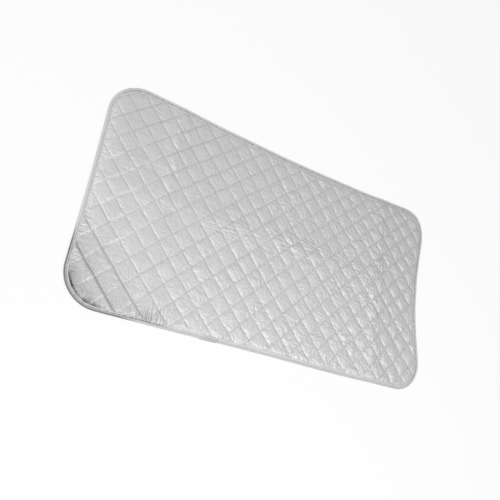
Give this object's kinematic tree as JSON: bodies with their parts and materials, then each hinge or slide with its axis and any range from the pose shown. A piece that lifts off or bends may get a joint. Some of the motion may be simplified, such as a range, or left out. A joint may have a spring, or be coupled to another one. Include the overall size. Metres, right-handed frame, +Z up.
{
  "type": "ironing pad",
  "caption": "Flat quilted ironing pad with round corners: a silver coated face cloth over wadding and a backing cloth, sewn through in diamonds and bound at the edge.",
  "frame": {"origin": "under the middle of the pad, on the surface that it lies on", "axes": "+X along the length, +Y to the back long side, +Z up out of the silver face"},
  "size_m": [0.85, 0.46, 0.0087],
  "materials": {
    "face_cloth": "silver coated cloth, satin, fine weave and crinkles",
    "wadding": "white fibre wadding, matt",
    "backing_cloth": "plain grey woven cloth, matt",
    "binding_tape": "grey woven tape, low sheen",
    "quilting_thread": "pale grey sewing thread",
    "binding_thread": "grey sewing thread"
  },
  "bodies": {
    "root": {"face_cloth": "face_cloth", "wadding": "wadding", "backing_cloth": "backing_cloth", "edge_binding": "binding_tape", "quilting_thread_rising": "quilting_thread", "quilting_thread_falling": "quilting_thread", "quilting_bobbin_thread_rising": "quilting_thread", "quilting_bobbin_thread_falling": "quilting_thread", "binding_thread": "binding_thread", "binding_bobbin_thread": "binding_thread"}
  },
  "joints": []
}
